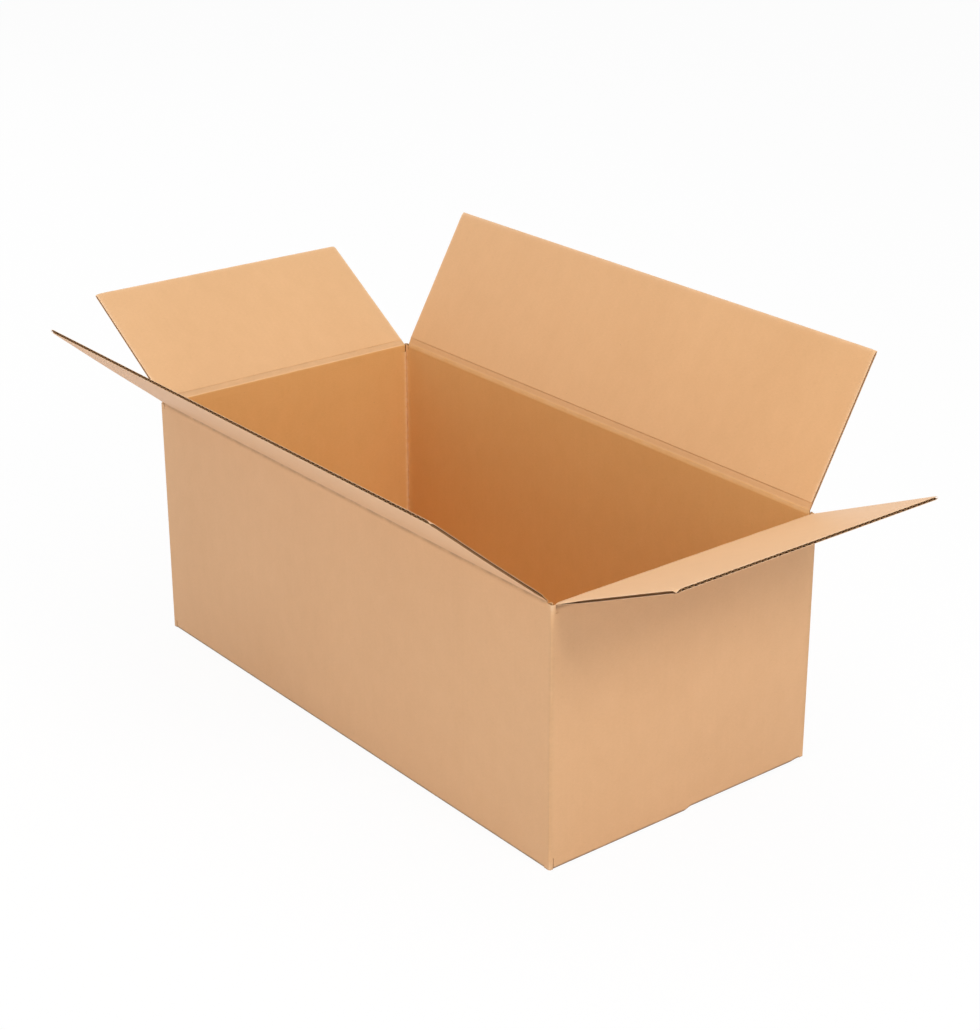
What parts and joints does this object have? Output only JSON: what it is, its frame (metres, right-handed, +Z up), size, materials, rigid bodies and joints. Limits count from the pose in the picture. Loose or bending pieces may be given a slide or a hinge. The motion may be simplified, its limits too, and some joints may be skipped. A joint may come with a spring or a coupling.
{
  "type": "corrugated shipping box",
  "caption": "Plain kraft slotted carton of fluted board, bottom glued shut, with long and short top flaps standing open on creased hinge lines around a deep rectangular interior.",
  "frame": {"origin": "middle of the base, on the underside of the outer bottom flaps, where the box stands", "axes": "+Z up out of the open top, X along the long side, -Y towards the long side that faces the camera"},
  "size_m": [0.864, 0.4882, 0.3757],
  "materials": {
    "kraft_board": "matte unbleached kraft liner"
  },
  "bodies": {
    "carton": {"carton_body": "kraft_board"},
    "front_flap": {"flap_front": "kraft_board"},
    "back_flap": {"flap_back": "kraft_board"},
    "left_flap": {"flap_left": "kraft_board"},
    "right_flap": {"flap_right": "kraft_board"}
  },
  "joints": [
    {"name": "front_crease", "type": "hinge", "parent": "carton", "child": "front_flap", "pos_m": [0, -0.1502, 0.244], "axis": [1, 0, 0], "range_deg": [-140, 126.4]},
    {"name": "back_crease", "type": "hinge", "parent": "carton", "child": "back_flap", "pos_m": [0, 0.1502, 0.244], "axis": [-1, 0, 0], "range_deg": [-119.5, 146.8]},
    {"name": "left_crease", "type": "hinge", "parent": "carton", "child": "left_flap", "pos_m": [-0.3002, 0, 0.2406], "axis": [0, -1, 0], "range_deg": [-148.3, 118]},
    {"name": "right_crease", "type": "hinge", "parent": "carton", "child": "right_flap", "pos_m": [0.3002, 0, 0.2406], "axis": [0, 1, 0], "range_deg": [-156, 110.4]}
  ]
}
